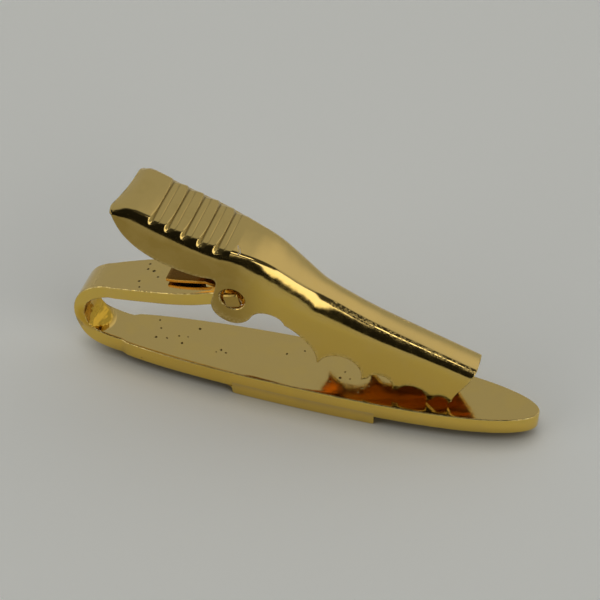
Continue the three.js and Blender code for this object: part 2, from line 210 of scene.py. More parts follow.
# ---- colours
# Each gold's top and side colours are one metal split by how far a face points up. The paler tops and deeper
# sides are painted reflection: the pale room above, and gold-tinted light bounced off the clip and the floor
# beside it.
GOLD_TOP = (0.67, 0.483, 0.17)
GOLD_SIDE = (0.79, 0.55, 0.115)
PANEL_SIDE = (0.96, 0.69, 0.16)
# Behind the hinge the lever's sides turn darker along x, between the two places in SIDE_TURNS: a painted
# shade
LEVER_SIDE, LEVER_TAIL_SIDE_SHADE = (0.70, 0.48, 0.10), (0.42, 0.28, 0.065)
SIDE_TURNS = (-5.2, -1.0)     # x where the lever's sides turn from their tail's colour to their nose's
# Pale bright gold on rounded edges: partly wear on the plating, partly a painted highlight along the rims
EDGE_WEAR_AND_HIGHLIGHT = (0.98, 0.78, 0.34)
# Deeper orange gold for the lever's inner face: a painted reflection of light bouncing between its gold faces
INSIDE_PAINTED_REFLECTION = (0.78, 0.49, 0.125)
# Deeper gold inside the strip's bend, round BEND_MIDDLE: a painted reflection of light bouncing between the
# bend's gold faces
BEND_PAINTED_REFLECTION = (0.68, 0.42, 0.05)
BEND_MIDDLE, BEND_RADIUS, BEND_FADE = (-17.6, 0, 4.1), 1.7, 0.5
# Dark colour for pits, specks and grime on edges, and for painted shade in the rib grooves
DIRT_AND_GROOVE_SHADE = (0.07, 0.04, 0.006)
BARE_METAL = (0.80, 0.72, 0.66)
PIN_TOP, PIN_SIDE = (0.55, 0.38, 0.11), (0.46, 0.3, 0.07)
BRONZE, BRONZE_DEEP = (0.60, 0.32, 0.07), (0.34, 0.19, 0.04)
# Spring colours: the dark stain colour also paints shade on the leaf's upward faces, and the edge colour is a
# painted highlight
BRONZE_STAIN_AND_TOP_SHADE, BRONZE_EDGE_HIGHLIGHT = (0.16, 0.07, 0.003), (0.62, 0.36, 0.08)
# Paper colour, and the darker colour of its painted contact shadow
PAPER, PAPER_CONTACT_SHADOW = (0.93, 0.94, 0.935), (0.16, 0.145, 0.11)

# Depths of the metal's bumps
SWELL, BRUSHING, DENT, PIT, FOLD = 0.014, 0.00048, 0.05, 0.015, 0.35
BRONZE_STREAK = 0.003

# ---- nodes
MIX_A, MIX_B, MIX_RESULT = 6, 7, 2     # sockets of a Mix node that mixes colours


def feed(tree, node, *inputs):
    """Sets the node's inputs from (socket, value) pairs, where a value may be a node's output or None."""
    for socket, value in inputs:
        if isinstance(value, bpy.types.NodeSocket):
            tree.links.new(value, node.inputs[socket])
        elif value is not None:
            node.inputs[socket].default_value = value


def add_node(tree, kind, *inputs, **settings):
    """A new node with its settings and inputs."""
    node = tree.nodes.new("ShaderNode" + kind)
    for name, value in settings.items():
        setattr(node, name, value)
    feed(tree, node, *inputs)
    return node


def map_range(tree, value, low, high, to_low=0.0, to_high=1.0, kind="SMOOTHSTEP"):
    node = add_node(tree, "MapRange", ("Value", value), ("From Min", low), ("From Max", high),
                    ("To Min", to_low), ("To Max", to_high), interpolation_type=kind)
    return node.outputs["Result"]


def mix_colours(tree, mask, a, b):
    """Colour a where the mask is 0, b where it is 1."""
    a, b = (c if isinstance(c, bpy.types.NodeSocket) else (*c, 1) for c in (a, b))
    node = add_node(tree, "Mix", ("Factor", mask), (MIX_A, a), (MIX_B, b), data_type="RGBA")
    return node.outputs[MIX_RESULT]


# ---- camera
CAMERA_AZIMUTH, CAMERA_ELEVATION = 17.38, 43.52
CAMERA_ROLL = math.radians(-1.04)
CAMERA_DISTANCE = 113.86 * MM
CAMERA_FIELD = math.radians(22.978)
CAMERA_AIM = Vector((-0.25, 0.19, 0.27)) * MM   # from the middle of the CAD box
CAMERA_SEES = (0.005, 20)                       # nearest and farthest, in metres


def towards(azimuth, elevation):
    """Unit vector, from degrees; azimuth 0 is the near side, -Y, and 90 is +X."""
    a, e = math.radians(azimuth), math.radians(elevation)
    return Vector((math.sin(a) * math.cos(e), -math.cos(a) * math.cos(e), math.sin(e)))


def make_camera():
    data = bpy.data.cameras.new("camera")
    data.angle = CAMERA_FIELD
    data.clip_start, data.clip_end = CAMERA_SEES
    camera = bpy.data.objects.new("camera", data)
    bpy.context.scene.collection.objects.link(camera)
    back = towards(CAMERA_AZIMUTH, CAMERA_ELEVATION)
    low, high = CAD_BOX
    camera.location = (low + high) / 2 + CAMERA_AIM + back * CAMERA_DISTANCE
    camera.rotation_mode = "QUATERNION"
    roll = Quaternion((0, 0, 1), CAMERA_ROLL)
    camera.rotation_quaternion = (-back).to_track_quat("-Z", "Y") @ roll
    bpy.context.scene.camera = camera


# ---- floor and light
# The floor's (radius, height) from its middle outwards, in metres
FLOOR_PROFILE = ((0.2, 0.0), (0.7, 0.0), (1.2, 0.0), (1.35, 0.01), (1.47, 0.04), (1.55, 0.09), (1.6, 0.16))
FLOOR_STEPS = 96
PAPER_ROUGH = 0.9
PAPER_GLOW = 0.04
# Painted contact shadow on the paper: ambient occlusion within CREVICE_REACH millimetres, mapped by
# CREVICE_OPEN
CREVICE_REACH = 3
CREVICE_OPEN = (0.25, 0.85)    # openness at which the paper is darkest, and at which it has its own colour

# The studio's light: each (shape, its measures in degrees, colour) is laid over the ones before it. A disc
# is (azimuth, elevation, inner, outer) and a panel is ((azimuths), (elevations), softness of its edges)
ROOM = (0.42, 0.43, 0.415)
LIGHTS = (
    ("disc", (134, 38, 6, 27), (0.72, 0.70, 0.65)),               # pale wall beyond the nose
    ("disc", (20, 72, 17, 24), (0.04, 0.04, 0.036)),              # dark ceiling above the camera
    ("disc", (6, 24, 46, 56), (0.012, 0.012, 0.011)),             # dark side of the room, behind the camera
    ("disc", (80, 60, 20, 27), (0.05, 0.05, 0.045)),              # dark corner above the window
    ("panel", ((-76, -27), (0, 46), 7), (1.35, 1.3, 1.15)),       # soft light at the tail
    ("panel", ((28, 90), (13, 42.5), 4), (1.75, 1.7, 1.55)),      # window at the nose
    ("disc", (50, 59, 3.5, 6), (3.0, 2.9, 2.7)),                  # small lamp above the window
)


def disc_faces(rings, steps):
    """Faces of a round sheet: a fan round point 0, then rings of quads outside it."""
    faces = [(0, 1 + k, 1 + (k + 1) % steps) for k in range(steps)]
    for ring in range(rings - 1):
        low, high = 1 + ring * steps, 1 + (ring + 1) * steps
        for k in range(steps):
            following = (k + 1) % steps
            faces.append((low + k, high + k, high + following, low + following))
    return faces


def floor_paper():
    """Matt pale paper, with a painted contact shadow that darkens it where the clip comes near."""
    material = bpy.data.materials.new("floor_paper")
    material.use_nodes = True
    tree = material.node_tree
    # Painted contact shadow: ambient occlusion darkens the paper near the clip
    crevice = add_node(tree, "AmbientOcclusion", ("Distance", CREVICE_REACH * MM), samples=16)
    openness = map_range(tree, crevice.outputs["AO"], *CREVICE_OPEN, kind="LINEAR")
    colour = mix_colours(tree, openness, PAPER_CONTACT_SHADOW, PAPER)
    feed(tree, tree.nodes["Principled BSDF"], ("Base Color", colour), ("Emission Color", colour),
         ("Emission Strength", PAPER_GLOW), ("Roughness", PAPER_ROUGH))
    return material


def make_floor():
    """A round sheet of pale paper whose rim curls up far away, behind every view."""
    points = [(0, 0, 0)]
    for radius, height in FLOOR_PROFILE:
        for k in range(FLOOR_STEPS):
            a = 2 * math.pi * k / FLOOR_STEPS
            points.append((radius * math.cos(a) / MM, radius * math.sin(a) / MM, height / MM))
    floor = object_from("floor", points, disc_faces(len(FLOOR_PROFILE), FLOOR_STEPS))
    floor.data.shade_smooth()
    floor.data.materials.append(floor_paper())


class Studio:
    """The soft light all round, built as layers in the world's nodes."""

    def __init__(self, colour):
        world = bpy.data.worlds.new("studio")
        bpy.context.scene.world = world
        world.use_nodes = True
        self.tree = world.node_tree
        self.direction = add_node(self.tree, "TexCoord").outputs["Generated"]
        self.colour = colour

    def along(self, axis, low, high):
        """0 where the direction's share along the axis is under low, 1 over high."""
        dot = add_node(self.tree, "VectorMath", (0, self.direction), (1, axis), operation="DOT_PRODUCT")
        return map_range(self.tree, dot.outputs["Value"], low, high)

    def disc(self, azimuth, elevation, inner, outer):
        """1 within inner degrees of a direction, 0 beyond outer."""
        low, high = (math.cos(math.radians(angle)) for angle in (outer, inner))
        return self.along(towards(azimuth, elevation), low, high)

    def panel(self, azimuths, elevations, soft):
        """1 in a window of azimuths and elevations, with edges soft degrees wide."""
        s = math.sin(math.radians(soft))
        low, high = (math.sin(math.radians(e)) for e in elevations)
        sides = [self.along(towards(azimuths[0] + 90, 0), 0, s),
                 self.along(towards(azimuths[1] - 90, 0), 0, s),
                 self.along(Vector((0, 0, 1)), low, low + s),
                 self.along(Vector((0, 0, -1)), -high, -high + s)]
        product = sides[0]
        for side in sides[1:]:
            product = add_node(self.tree, "Math", (0, product), (1, side), operation="MULTIPLY").outputs[0]
        return product

    def layer(self, mask, colour):
        """Lays a colour over what is there, where the mask is 1."""
        self.colour = mix_colours(self.tree, mask, self.colour, colour)

    def finish(self):
        feed(self.tree, self.tree.nodes["Background"], ("Color", self.colour))


def make_studio():
    studio = Studio(ROOM)
    shapes = {"disc": studio.disc, "panel": studio.panel}
    for shape, measures, colour in LIGHTS:
        studio.layer(shapes[shape](*measures), colour)
    studio.finish()


# ---- mesh helpers
MERGE = 1e-7          # metres
SHARP_ANGLE = 35
LATHE_STEPS = 72
CURVE_STEPS = 24


def smooth_table(table):
    """Function for the smooth monotone curve through (t, value) rows."""
    t, v = np.array(table, float).T
    h = np.diff(t)
    slope = np.diff(v) / h
    lean = np.zeros(len(t))
    lean[0], lean[-1] = slope[0], slope[-1]
    before, after = slope[:-1], slope[1:]
    same = before * after > 0
    lean[1:-1][same] = 2 * before[same] * after[same] / (before[same] + after[same])

    def value(x):
        x = np.clip(np.asarray(x, float), t[0], t[-1])
        i = np.clip(np.searchsorted(t, x, side="right") - 1, 0, len(h) - 1)
        s = (x - t[i]) / h[i]
        a = (1 + 2 * s) * (1 - s) ** 2
        b = s * (1 - s) ** 2
        c = s * s * (3 - 2 * s)
        d = s * s * (s - 1)
        return a * v[i] + b * h[i] * lean[i] + c * v[i + 1] + d * h[i] * lean[i + 1]

    return value


def smoothstep(x, low, high):
    s = np.clip((np.asarray(x, float) - low) / (high - low), 0, 1)
    return s * s * (3 - 2 * s)


def through(points, steps):
    """Evenly spaced points on a smooth curve through the given points."""
    points = np.array(points, float)
    points = np.vstack([2 * points[0] - points[1], points, 2 * points[-1] - points[-2]])
    knots = np.cumsum(np.append(0, np.linalg.norm(np.diff(points, axis=0), axis=1) ** 0.5))
    fine = []
    for i in range(len(points) - 3):
        p0, p1, p2, p3 = points[i:i + 4]
        t0, t1, t2, t3 = knots[i:i + 4]
        for t in np.linspace(t1, t2, CURVE_STEPS, endpoint=False):
            a1 = ((t1 - t) * p0 + (t - t0) * p1) / (t1 - t0)
            a2 = ((t2 - t) * p1 + (t - t1) * p2) / (t2 - t1)
            a3 = ((t3 - t) * p2 + (t - t2) * p3) / (t3 - t2)
            b1 = ((t2 - t) * a1 + (t - t0) * a2) / (t2 - t0)
            b2 = ((t3 - t) * a2 + (t - t1) * a3) / (t3 - t1)
            fine.append(((t2 - t) * b1 + (t - t1) * b2) / (t2 - t1))
    fine = np.array(fine + [points[-2]])
    run = np.cumsum(np.append(0, np.linalg.norm(np.diff(fine, axis=0), axis=1)))
    even = np.linspace(0, run[-1], steps + 1)
    return np.stack([np.interp(even, run, column) for column in fine.T], axis=1)


def directions(line):
    """Unit direction of the line at each of its points."""
    step = np.gradient(np.array(line), axis=0)
    return step / np.linalg.norm(step, axis=1)[:, None]


def object_from(name, points, faces, edge=None):
    """Object from millimetre points; edge holds each point's nearness to a rounded edge, where the materials
    paint wear, grime and a painted highlight.
    """
    mesh = bpy.data.meshes.new(name)
    mesh.from_pydata([tuple(p) for p in np.asarray(points, float) * MM], [], faces)
    attribute = mesh.attributes.new("edge", "FLOAT", "POINT")
    if edge is not None:
        attribute.data.foreach_set("value", np.asarray(edge, np.float32))
    piece = bpy.data.objects.new(name, mesh)
    bpy.context.scene.collection.objects.link(piece)
    return piece


def clean(piece):
    """Merges doubled points and turns every face outwards."""
    edit = bmesh.new()
    edit.from_mesh(piece.data)
    bmesh.ops.remove_doubles(edit, verts=edit.verts, dist=MERGE)
    bmesh.ops.recalc_face_normals(edit, faces=edit.faces)
    edit.to_mesh(piece.data)
    edit.free()


def smooth(piece):
    """Smooth shading with sharp edges past SHARP_ANGLE, and flat faces kept flat."""
    piece.data.shade_smooth()
    piece.data.set_sharp_from_angle(angle=math.radians(SHARP_ANGLE))
    weighted = piece.modifiers.new("flat_faces", "WEIGHTED_NORMAL")
    weighted.mode = "FACE_AREA"
    weighted.keep_sharp = True


def apply_modifiers(piece):
    graph = bpy.context.evaluated_depsgraph_get()
    done = bpy.data.meshes.new_from_object(piece.evaluated_get(graph))
    piece.modifiers.clear()
    piece.data = done


def cut(piece, tool, operation="DIFFERENCE"):
    """Boolean of the piece with the tool, which is then thrown away."""
    boolean = piece.modifiers.new("cut", "BOOLEAN")
    boolean.operation = operation
    boolean.solver = "EXACT"
    boolean.object = tool
    bpy.context.view_layer.update()
    apply_modifiers(piece)
    bpy.data.objects.remove(tool)


def tube_faces(rings, count, cap_start, cap_end):
    """Quads over rings of count points; a cap joins point i to its partner count - 1 - i."""
    faces = []
    for r in range(rings - 1):
        for i in range(count):
            a, b = r * count + i, r * count + (i + 1) % count
            faces.append((a, b, b + count, a + count))
    for on, base in ((cap_start, 0), (cap_end, (rings - 1) * count)):
        for i in range(count // 2 - 1) if on else ():
            faces.append((base + i, base + i + 1, base + count - 2 - i, base + count - 1 - i))
    return faces


def lathe_tool(name, profile):
    """Cutter round the Y axis through the pivot, from (radius, y) rows that start and end on the axis."""
    points = []
    for radius, y in profile:
        for i in range(LATHE_STEPS):
            a = 2 * math.pi * i / LATHE_STEPS
            points.append((PIVOT[0] + radius * math.cos(a), y, PIVOT[1] + radius * math.sin(a)))
    tool = object_from(name, points, tube_faces(len(profile), LATHE_STEPS, False, False))
    clean(tool)
    return tool


def box_tool(name, low, high, edge=0.0, turn=0.0, centre=(0, 0), segments=4):
    """Box with rounded edges, turned by turn about the Y axis and moved to centre (x, z)."""
    corners = itertools.product(*zip(low, high))
    faces = [(0, 1, 3, 2), (4, 6, 7, 5), (0, 4, 5, 1), (2, 3, 7, 6), (0, 2, 6, 4), (1, 5, 7, 3)]
    c, s = math.cos(turn), math.sin(turn)
    points = [(centre[0] + x * c - z * s, y, centre[1] + x * s + z * c) for x, y, z in corners]
    tool = object_from(name, points, faces)
    if edge:
        edit = bmesh.new()
        edit.from_mesh(tool.data)
        bmesh.ops.bevel(edit, geom=edit.edges[:], offset=edge * MM, segments=segments, profile=0.5,
                        affect="EDGES")
        edit.to_mesh(tool.data)
        edit.free()
    clean(tool)
    return tool


# ---- flat strips
ARC_STEPS = 4
PLATE_STEPS, BEND_STEPS, ARM_STEPS = 130, 70, 50
PANEL_STEPS, PANEL_ACROSS = 40, 8
PLATE_CROWDING = 1.8     # crowds the plate's stations towards its tip


def strip_rings(stations, edge, across=8):
    """Rings of a flat strip with rounded edges. A station is (x, z, thickness, half-width, ahead), where
    ahead is how far its outline's outward direction leans back along the line, from 0 to -1."""
    tangent = directions([s[:2] for s in stations])
    rings, wear = [], []
    for (x, z, thick, half, ahead), (tx, tz) in zip(stations, tangent):
        out = math.sqrt(max(1 - ahead * ahead, 0))
        sides = []
        for a in np.linspace(0, math.pi / 2, ARC_STEPS + 1):
            back = edge * (1 - math.cos(a))
            sides.append((half - out * back, -ahead * back, thick / 2 - edge * (1 - math.sin(a))))
        path = [(-y, s, n) for y, s, n in sides]
        inner, shift, level = sides[-1]
        path += [(-inner + 2 * inner * k / across, shift, level) for k in range(1, across)]
        path += list(reversed(sides))
        top = [(x + tx * s - tz * n, y, z + tz * s + tx * n) for y, s, n in path]
        low = [(x + tx * s + tz * n, y, z + tz * s - tx * n) for y, s, n in path]
        rings.append(top + low[::-1])
        worn = [math.sin(math.pi * k / ARC_STEPS) for k in range(ARC_STEPS + 1)]
        row = worn + [0] * (across - 1) + worn[::-1]
        wear.append(row + row[::-1])
    return rings, wear


def strip_piece(name, stations, edge, cap_start, cap_end, across=8, lip=None):
    rings, wear = strip_rings(stations, edge, across)
    if lip:
        rings = [[(x, y, z + lip(x, y, z)) for x, y, z in ring] for ring in rings]
    count = len(rings[0])
    piece = object_from(name, [p for r in rings for p in r],
                        tube_faces(len(rings), count, cap_start, cap_end), [w for r in wear for w in r])
    clean(piece)
    return piece


def plate_half(x):
    """Half the plate's width at x."""
    d = TIP_X - x
    a, b, c, e = PLATE_CUBIC
    return math.sqrt(max(d * (a + d * (b + d * (c + d * e))), 0))


def strip_half(x):
    """Half the strip's width at x, where the plate narrows into the bend."""
    return max(plate_half(x), BEND_HALF * float(smoothstep(TIP_X - x, NECK_FROM, NECK_TO)))


def lean_at(x, step=0.004):
    """How far the plate's outline leans back from its tip at x: -1 at the tip, 0 where it is parallel."""
    ahead, behind = min(x + step, TIP_X), x - step
    slope = (strip_half(behind) - strip_half(ahead)) / (ahead - behind)
    return -slope / math.hypot(slope, 1)


def plate_stations():
    stations = []
    for i in range(PLATE_STEPS + 1):
        x = TIP_X - (TIP_X - BEND_START_X) * (i / PLATE_STEPS) ** PLATE_CROWDING
        lean = lean_at(x) if i else -1.0
        stations.append((x, PLATE_TOP - PLATE_THICK / 2, PLATE_THICK, strip_half(x), lean))
    return stations


def bend_stations():
    thick = smooth_table(BEND_THICK)
    line = through(BEND_LINE, BEND_STEPS)
    return [(x, z, float(thick(i / BEND_STEPS)), BEND_HALF, 0.0) for i, (x, z) in enumerate(line)]


def arm_line(x):
    """Height of the arm's middle at x."""
    return ARM_START_Z + (x - ARM_START_X) * math.tan(ARM_SLOPE)


def arm_stations():
    half = smooth_table(ARM_HALF)
    run = np.linspace(ARM_START_X, PIVOT[0], ARM_STEPS + 1)
    return [(x, arm_line(x), ARM_THICK, float(half(x)), 0.0) for x in run]


def plate_dish(x, y, z):
    """How much the plate's top rises at (x, y): it is very slightly dished towards its edges."""
    if not PLATE_TOP - STRIP_EDGE <= z <= PLATE_TOP + DISH_MARGIN:
        return 0.0
    here = float(smoothstep(x, *DISH_COMES_IN)) * (1 - float(smoothstep(x, *DISH_GOES_OUT)))
    return DISH * max(abs(y) - DISH_FROM_Y, 0) ** 2 * here


def knuckle_profile():
    """(radius, y) rows of the arm's round end, with a softened edge at each side."""
    radius, edge, end = KNUCKLE_RADIUS, KNUCKLE_EDGE, ARM_END_HALF
    corner = 0.3 * edge
    side = [(0, end), (radius - edge, end), (radius - corner, end - corner), (radius, end - edge)]
    return [(r, -y) for r, y in side] + side[::-1]


def make_strip():
    """Plate, bend and arm in one strip, with the arm's knuckles, slot and bore, and the panel's seat."""
    stations = plate_stations() + bend_stations() + arm_stations()
    strip = strip_piece("base_strip_gold", stations, STRIP_EDGE, False, True, across=24, lip=plate_dish)
    cut(strip, lathe_tool("knuckle", knuckle_profile()), "UNION")
    slot = box_tool("slot", (-SLOT_REACH, -SLOT_HALF, -CUTTER_REACH), (CUTTER_REACH, SLOT_HALF, CUTTER_REACH),
                    SLOT_CORNER, ARM_SLOPE, PIVOT)
    cut(strip, slot)
    radius = PIN_RADIUS + BORE_ROOM
    bore = [(0, -CUTTER_REACH), (radius, -CUTTER_REACH), (radius, CUTTER_REACH), (0, CUTTER_REACH)]
    cut(strip, lathe_tool("bore", bore))
    seat = box_tool("seat", (PANEL_FROM_X, -CUTTER_REACH, -1), (PANEL_TO_X, CUTTER_REACH, PANEL_THICK))
    cut(strip, seat)
    return strip


def panel_profile():
    """(x, lower face, upper face) rows from the panel's end nearer the tip to the solder's end."""
    rows = [(PANEL_TO_X - back, low, PANEL_THICK) for back, low in PANEL_TIP_END]
    flat = np.linspace(PANEL_TO_X - PANEL_FLAT_FROM, PANEL_FROM_X + PANEL_FLAT_FROM, PANEL_STEPS + 1)
    rows += [(x, 0.0, PANEL_THICK) for x in flat[1:-1]]
    rows += [(PANEL_FROM_X + ahead, low, PANEL_THICK) for ahead, low in PANEL_TAIL_END]
    rows += [(PANEL_FROM_X - back, low, PLATE_FACE) for back, low in SOLDER]
    return rows


def make_panel():
    """The raised panel, with a small fillet of solder at its tail end."""
    profile = panel_profile()
    points, wear, half_ring = [], [], 0
    for x, low, high in profile:
        half, edge = plate_half(x), min(PANEL_EDGE, (high - low) / 3)
        corner = 0.3 * edge
        path = [(-half, low + edge), (-half + corner, low + corner), (-half + edge, low)]
        path += [(-half + edge + 2 * (half - edge) * k / PANEL_ACROSS, low) for k in range(1, PANEL_ACROSS)]
        path += [(-y, z) for y, z in path[2::-1]]
        top = [(y, high) for y, z in path]
        half_ring = len(path)
        points += [(x, y, z) for y, z in path + top[::-1]]
        wear += [1 if k in (1, half_ring - 2) else 0 for k in range(half_ring)] + [0] * half_ring
    panel = object_from("front_panel_gold", points,
                        tube_faces(len(profile), 2 * half_ring, True, True), wear)
    clean(panel)
    return panel


# ---- lever
lever_half = smooth_table(LEVER_HALF)
crease_y = smooth_table(CREASE_Y)
crease_v = smooth_table(CREASE_V)
foot_v = smooth_table(FOOT_V)
crown = smooth_table(CROWN)
crease_soft = smooth_table(CREASE_SOFT)

# Points of half the section, from the rim to the crest
FLANGE_ROWS = 6
FOOT_ROWS = 7
FACET_ROWS = 8
CREASE_ROWS = 10
CREST_ROWS = 8
OUTLINE_SPACING, RIB_SPACING = 0.12, 0.035
LEAST_FLANGE = 0.05
LARGEST_ROUNDING = 0.45           # as a share of the facet's width
SPARKLE_COMES_IN = (6.5, 8.5)     # u along the nose


def lever_to_frame(u, y, v):
    """The CAD frame's point for a point in the lever's own axes."""
    c, s = math.cos(LEVER_PITCH), math.sin(LEVER_PITCH)
    return (PIVOT[0] + u * c + v * s, y, PIVOT[1] - u * s + v * c)


def arc(cu, cv, r, start, end, steps):
    """Points on the circle round (cu, cv), from one angle to the other."""
    return [(cu + r * math.cos(a), cv + r * math.sin(a)) for a in np.linspace(start, end, steps + 1)]


def bow(start, control, end, steps):
    """Points on the quadratic curve from start to end."""
    rows = []
    for t in np.linspace(0, 1, steps + 1):
        a, b, c = (1 - t) ** 2, 2 * t * (1 - t), t * t
        rows.append((a * start[0] + b * control[0] + c * end[0], a * start[1] + b * control[1] + c * end[1]))
    return rows


def chained(start, curves):
    """start, then the points of each (control, end, points) curve in turn."""
    rows = [start]
    for control, end, steps in curves:
        rows += bow(rows[-1], control, end, steps)[1:]
    return rows


def flange_outline():
    """The flange's lower edge from the grip's end to the nose, as (u, v) points."""
    rows = chained((GRIP_END_U, GRIP_END_V), GRIP_CURVES)
    rows += arc(EAR_U, EAR_V, EAR_RADIUS, *EAR_ARC, EAR_POINTS)[1:]
    rows += chained(rows[-1], JAW_CURVES)[1:]
    for u, v, r in SCALLOPS:
        rows += arc(u, v, r, math.pi - SCALLOP_TILT, SCALLOP_TILT, SCALLOP_POINTS)
    rows.append((NOSE_END[0][1], NOSE_END[0][0]))
    return rows


def filled(rows):
    """The outline with points added along u, closer together where the ribs are."""
    done = [rows[0]]
    first, last = RIB_START_U - 0.3, RIB_START_U + RIB_PITCH * (RIB_COUNT - 0.5)
    for (u0, v0), (u1, v1) in zip(rows, rows[1:]):
        spacing = RIB_SPACING if first < u1 < last else OUTLINE_SPACING
        extra = max(1, math.ceil((u1 - u0) / spacing))
        done += [(u0 + (u1 - u0) * k / extra, v0 + (v1 - v0) * k / extra) for k in range(1, extra + 1)]
    return [row for i, row in enumerate(done) if i == 0 or row[0] > done[i - 1][0] + 1e-4]


def rib_cut(u, step):
    """Share of the ribs' depth that is cut away at u, where the steep side takes up step of the pitch."""
    t = (u - RIB_START_U) / RIB_PITCH
    whole = math.floor(t)
    share = t - whole
    if share > 1 - step and -1 <= whole < RIB_COUNT - 1:
        return float(smoothstep(share, 1 - step, 1))
    if not 0 <= whole < RIB_COUNT:
        return 0.0
    return max(0.0, 1 - share / (1 - step)) ** RIB_SLOPE_POWER


def rib_depth(u, y, v, crease):
    """How far the ribs cut the point (y, v) of the section down."""
    out = min(abs(y / crease[0]), 1.0) ** 3
    step = RIB_STEP + (RIB_STEP_CREASE - RIB_STEP) * out
    depth = RIB_DEPTH + (RIB_DEPTH_CREASE - RIB_DEPTH) * out
    line = RIB_LINE * (1 - out) * rib_line(u)
    fade = 1 - float(smoothstep(crease[1] - v, *RIB_FADE))
    return (depth * rib_cut(u, step) + line) * fade


def rib_line(u):
    """The fine line beside each rib's steep side: 1 in its middle."""
    share = (u - RIB_START_U) / RIB_PITCH % 1
    on = RIB_START_U < u < RIB_START_U + RIB_PITCH * (RIB_COUNT - 0.4)
    return math.exp(-((share - RIB_LINE_AT) / RIB_LINE_WIDTH) ** 2) if on else 0.0


def rib_groove(u):
    """How near u is to the foot of a rib's steep side or to the fine line beside it."""
    t = (u - RIB_START_U) / RIB_PITCH
    near = 0.0
    for k in range(RIB_COUNT):
        foot = math.exp(-((t - k - RIB_GROOVE_AT) / RIB_GROOVE_WIDTH) ** 2)
        line = 0.6 * math.exp(-((t - k - RIB_LINE_AT) / RIB_LINE_WIDTH) ** 2)
        near = max(near, foot, line)
    return near


def outline_normals(rows):
    """Unit direction out of the sheet, in its plane, at each point of the lower edge."""
    step = directions(rows)
    return np.stack([step[:, 1], -step[:, 0]], axis=1)


def rounded(corner, before, after, reach, steps):
    """Points on the curve that rounds the corner between its neighbours before and after it."""
    corner, before, after = (np.array(p, float) for p in (corner, before, after))
    back, ahead = before - corner, after - corner
    start = corner + back / np.linalg.norm(back) * reach
    end = corner + ahead / np.linalg.norm(ahead) * reach
    return bow(start, corner, end, steps)


def between(start, end, steps):
    """Points strictly between start and end."""
    return [(start[0] + (end[0] - start[0]) * k / steps, start[1] + (end[1] - start[1]) * k / steps)
            for k in range(1, steps)]


def outer_path(u, low):
    """Outer face of half the section, as (y, v) points from the flange's rim to the crest's middle."""
    half = float(lever_half(u))
    crease = (-float(crease_y(u)), float(crease_v(u)))
    middle = crease[1] + float(crown(u))
    foot = (-half, max(float(foot_v(u)), low + LEAST_FLANGE))
    largest = LARGEST_ROUNDING * math.hypot(foot[0] - crease[0], foot[1] - crease[1])
    soft = min(FOOT_SOFT, 0.8 * (foot[1] - low), largest)
    bulge = ((foot[0] + crease[0]) / 2 - FACET_BULGE * (crease[1] - foot[1]),
             (foot[1] + crease[1]) / 2 + FACET_BULGE * (crease[0] - foot[0]))
    foot_rows = rounded(foot, (-half, foot[1] - 1), bulge, soft, FOOT_ROWS)
    reach = min(float(crease_soft(u)), largest)
    crease_rows = rounded(crease, bulge, (crease[0] / 2, middle), reach, CREASE_ROWS)
    rows = [(-half, low)] + between((-half, low), foot_rows[0], FLANGE_ROWS) + foot_rows
    rows += bow(foot_rows[-1], bulge, crease_rows[0], FACET_ROWS)[1:-1] + crease_rows
    y0, v0 = crease_rows[-1]
    for k in range(1, CREST_ROWS + 1):
        t = k / CREST_ROWS
        rows.append((y0 * (1 - t), v0 + (middle - v0) * (1 - (1 - t) ** 2)))
    return [(y, v - rib_depth(u, y, v, crease)) for y, v in rows]


def half_section(u, low, out):
    """Outer and inner faces of half the section, as lists of (u, y, v) points that pair up."""
    r = SHEET_EDGE
    outer, inner = [], []
    path = outer_path(u, low - out[1] * r)
    half = -path[0][0]
    for a in np.linspace(0, math.pi / 2, ARC_STEPS + 1)[:-1]:
        back, depth = r * (1 - math.cos(a)), r * (1 - math.sin(a))
        outer.append((u - out[0] * back, -half + depth, low - out[1] * back))
        inner.append((u - out[0] * back, -half + SHEET - depth, low - out[1] * back))
    step = directions(path)
    step[-1] = (1, 0)
    shift = -out[0] * r
    for k, ((y, v), (ty, tv)) in enumerate(zip(path, step)):
        along = u + shift * max(0.0, 1 - k / FLANGE_ROWS)
        outer.append((along, y, v))
        inner.append((along, y + tv * SHEET, v - ty * SHEET))
    return outer, inner


def end_shift(u, y, v):
    """How far a point is moved along u so that the grip's end is hollow and the nose's end slants."""
    hollow = GRIP_END_HOLLOW - (GRIP_END_SWEEP - math.sqrt(GRIP_END_SWEEP ** 2 - y * y))
    corner = max(abs(y) - GRIP_CORNER_Y, 0) / (GRIP_CORNER_TO_Y - GRIP_CORNER_Y)
    hollow += GRIP_CORNER * corner ** 2 - GRIP_END_REACH
    hollow += GRIP_END_SKEW * y
    heights, ends = zip(*NOSE_END)
    slant = float(np.interp(v, heights, ends)) - ends[0]
    grip = 1 - float(smoothstep(u, GRIP_END_U, GRIP_END_U + GRIP_END_STRETCH))
    nose = float(smoothstep(u, ends[0] - NOSE_END_STRETCH, ends[0]))
    return hollow * grip + slant * nose


def lever_rings():
    """The lever's section at each point of its lower edge, as rings of (u, y, v) points."""
    rows = filled(flange_outline())
    out = outline_normals(rows)
    rings = []
    for (u, v), direction in zip(rows, out):
        ring = []
        for face in half_section(u, v, direction):
            ring.append(face + [(a, -y, b) for a, y, b in face[-2::-1]])
        outer, inner = ring
        rings.append([(a + end_shift(a, y, b), y, b) for a, y, b in outer + inner[::-1]])
    return np.array(rings)


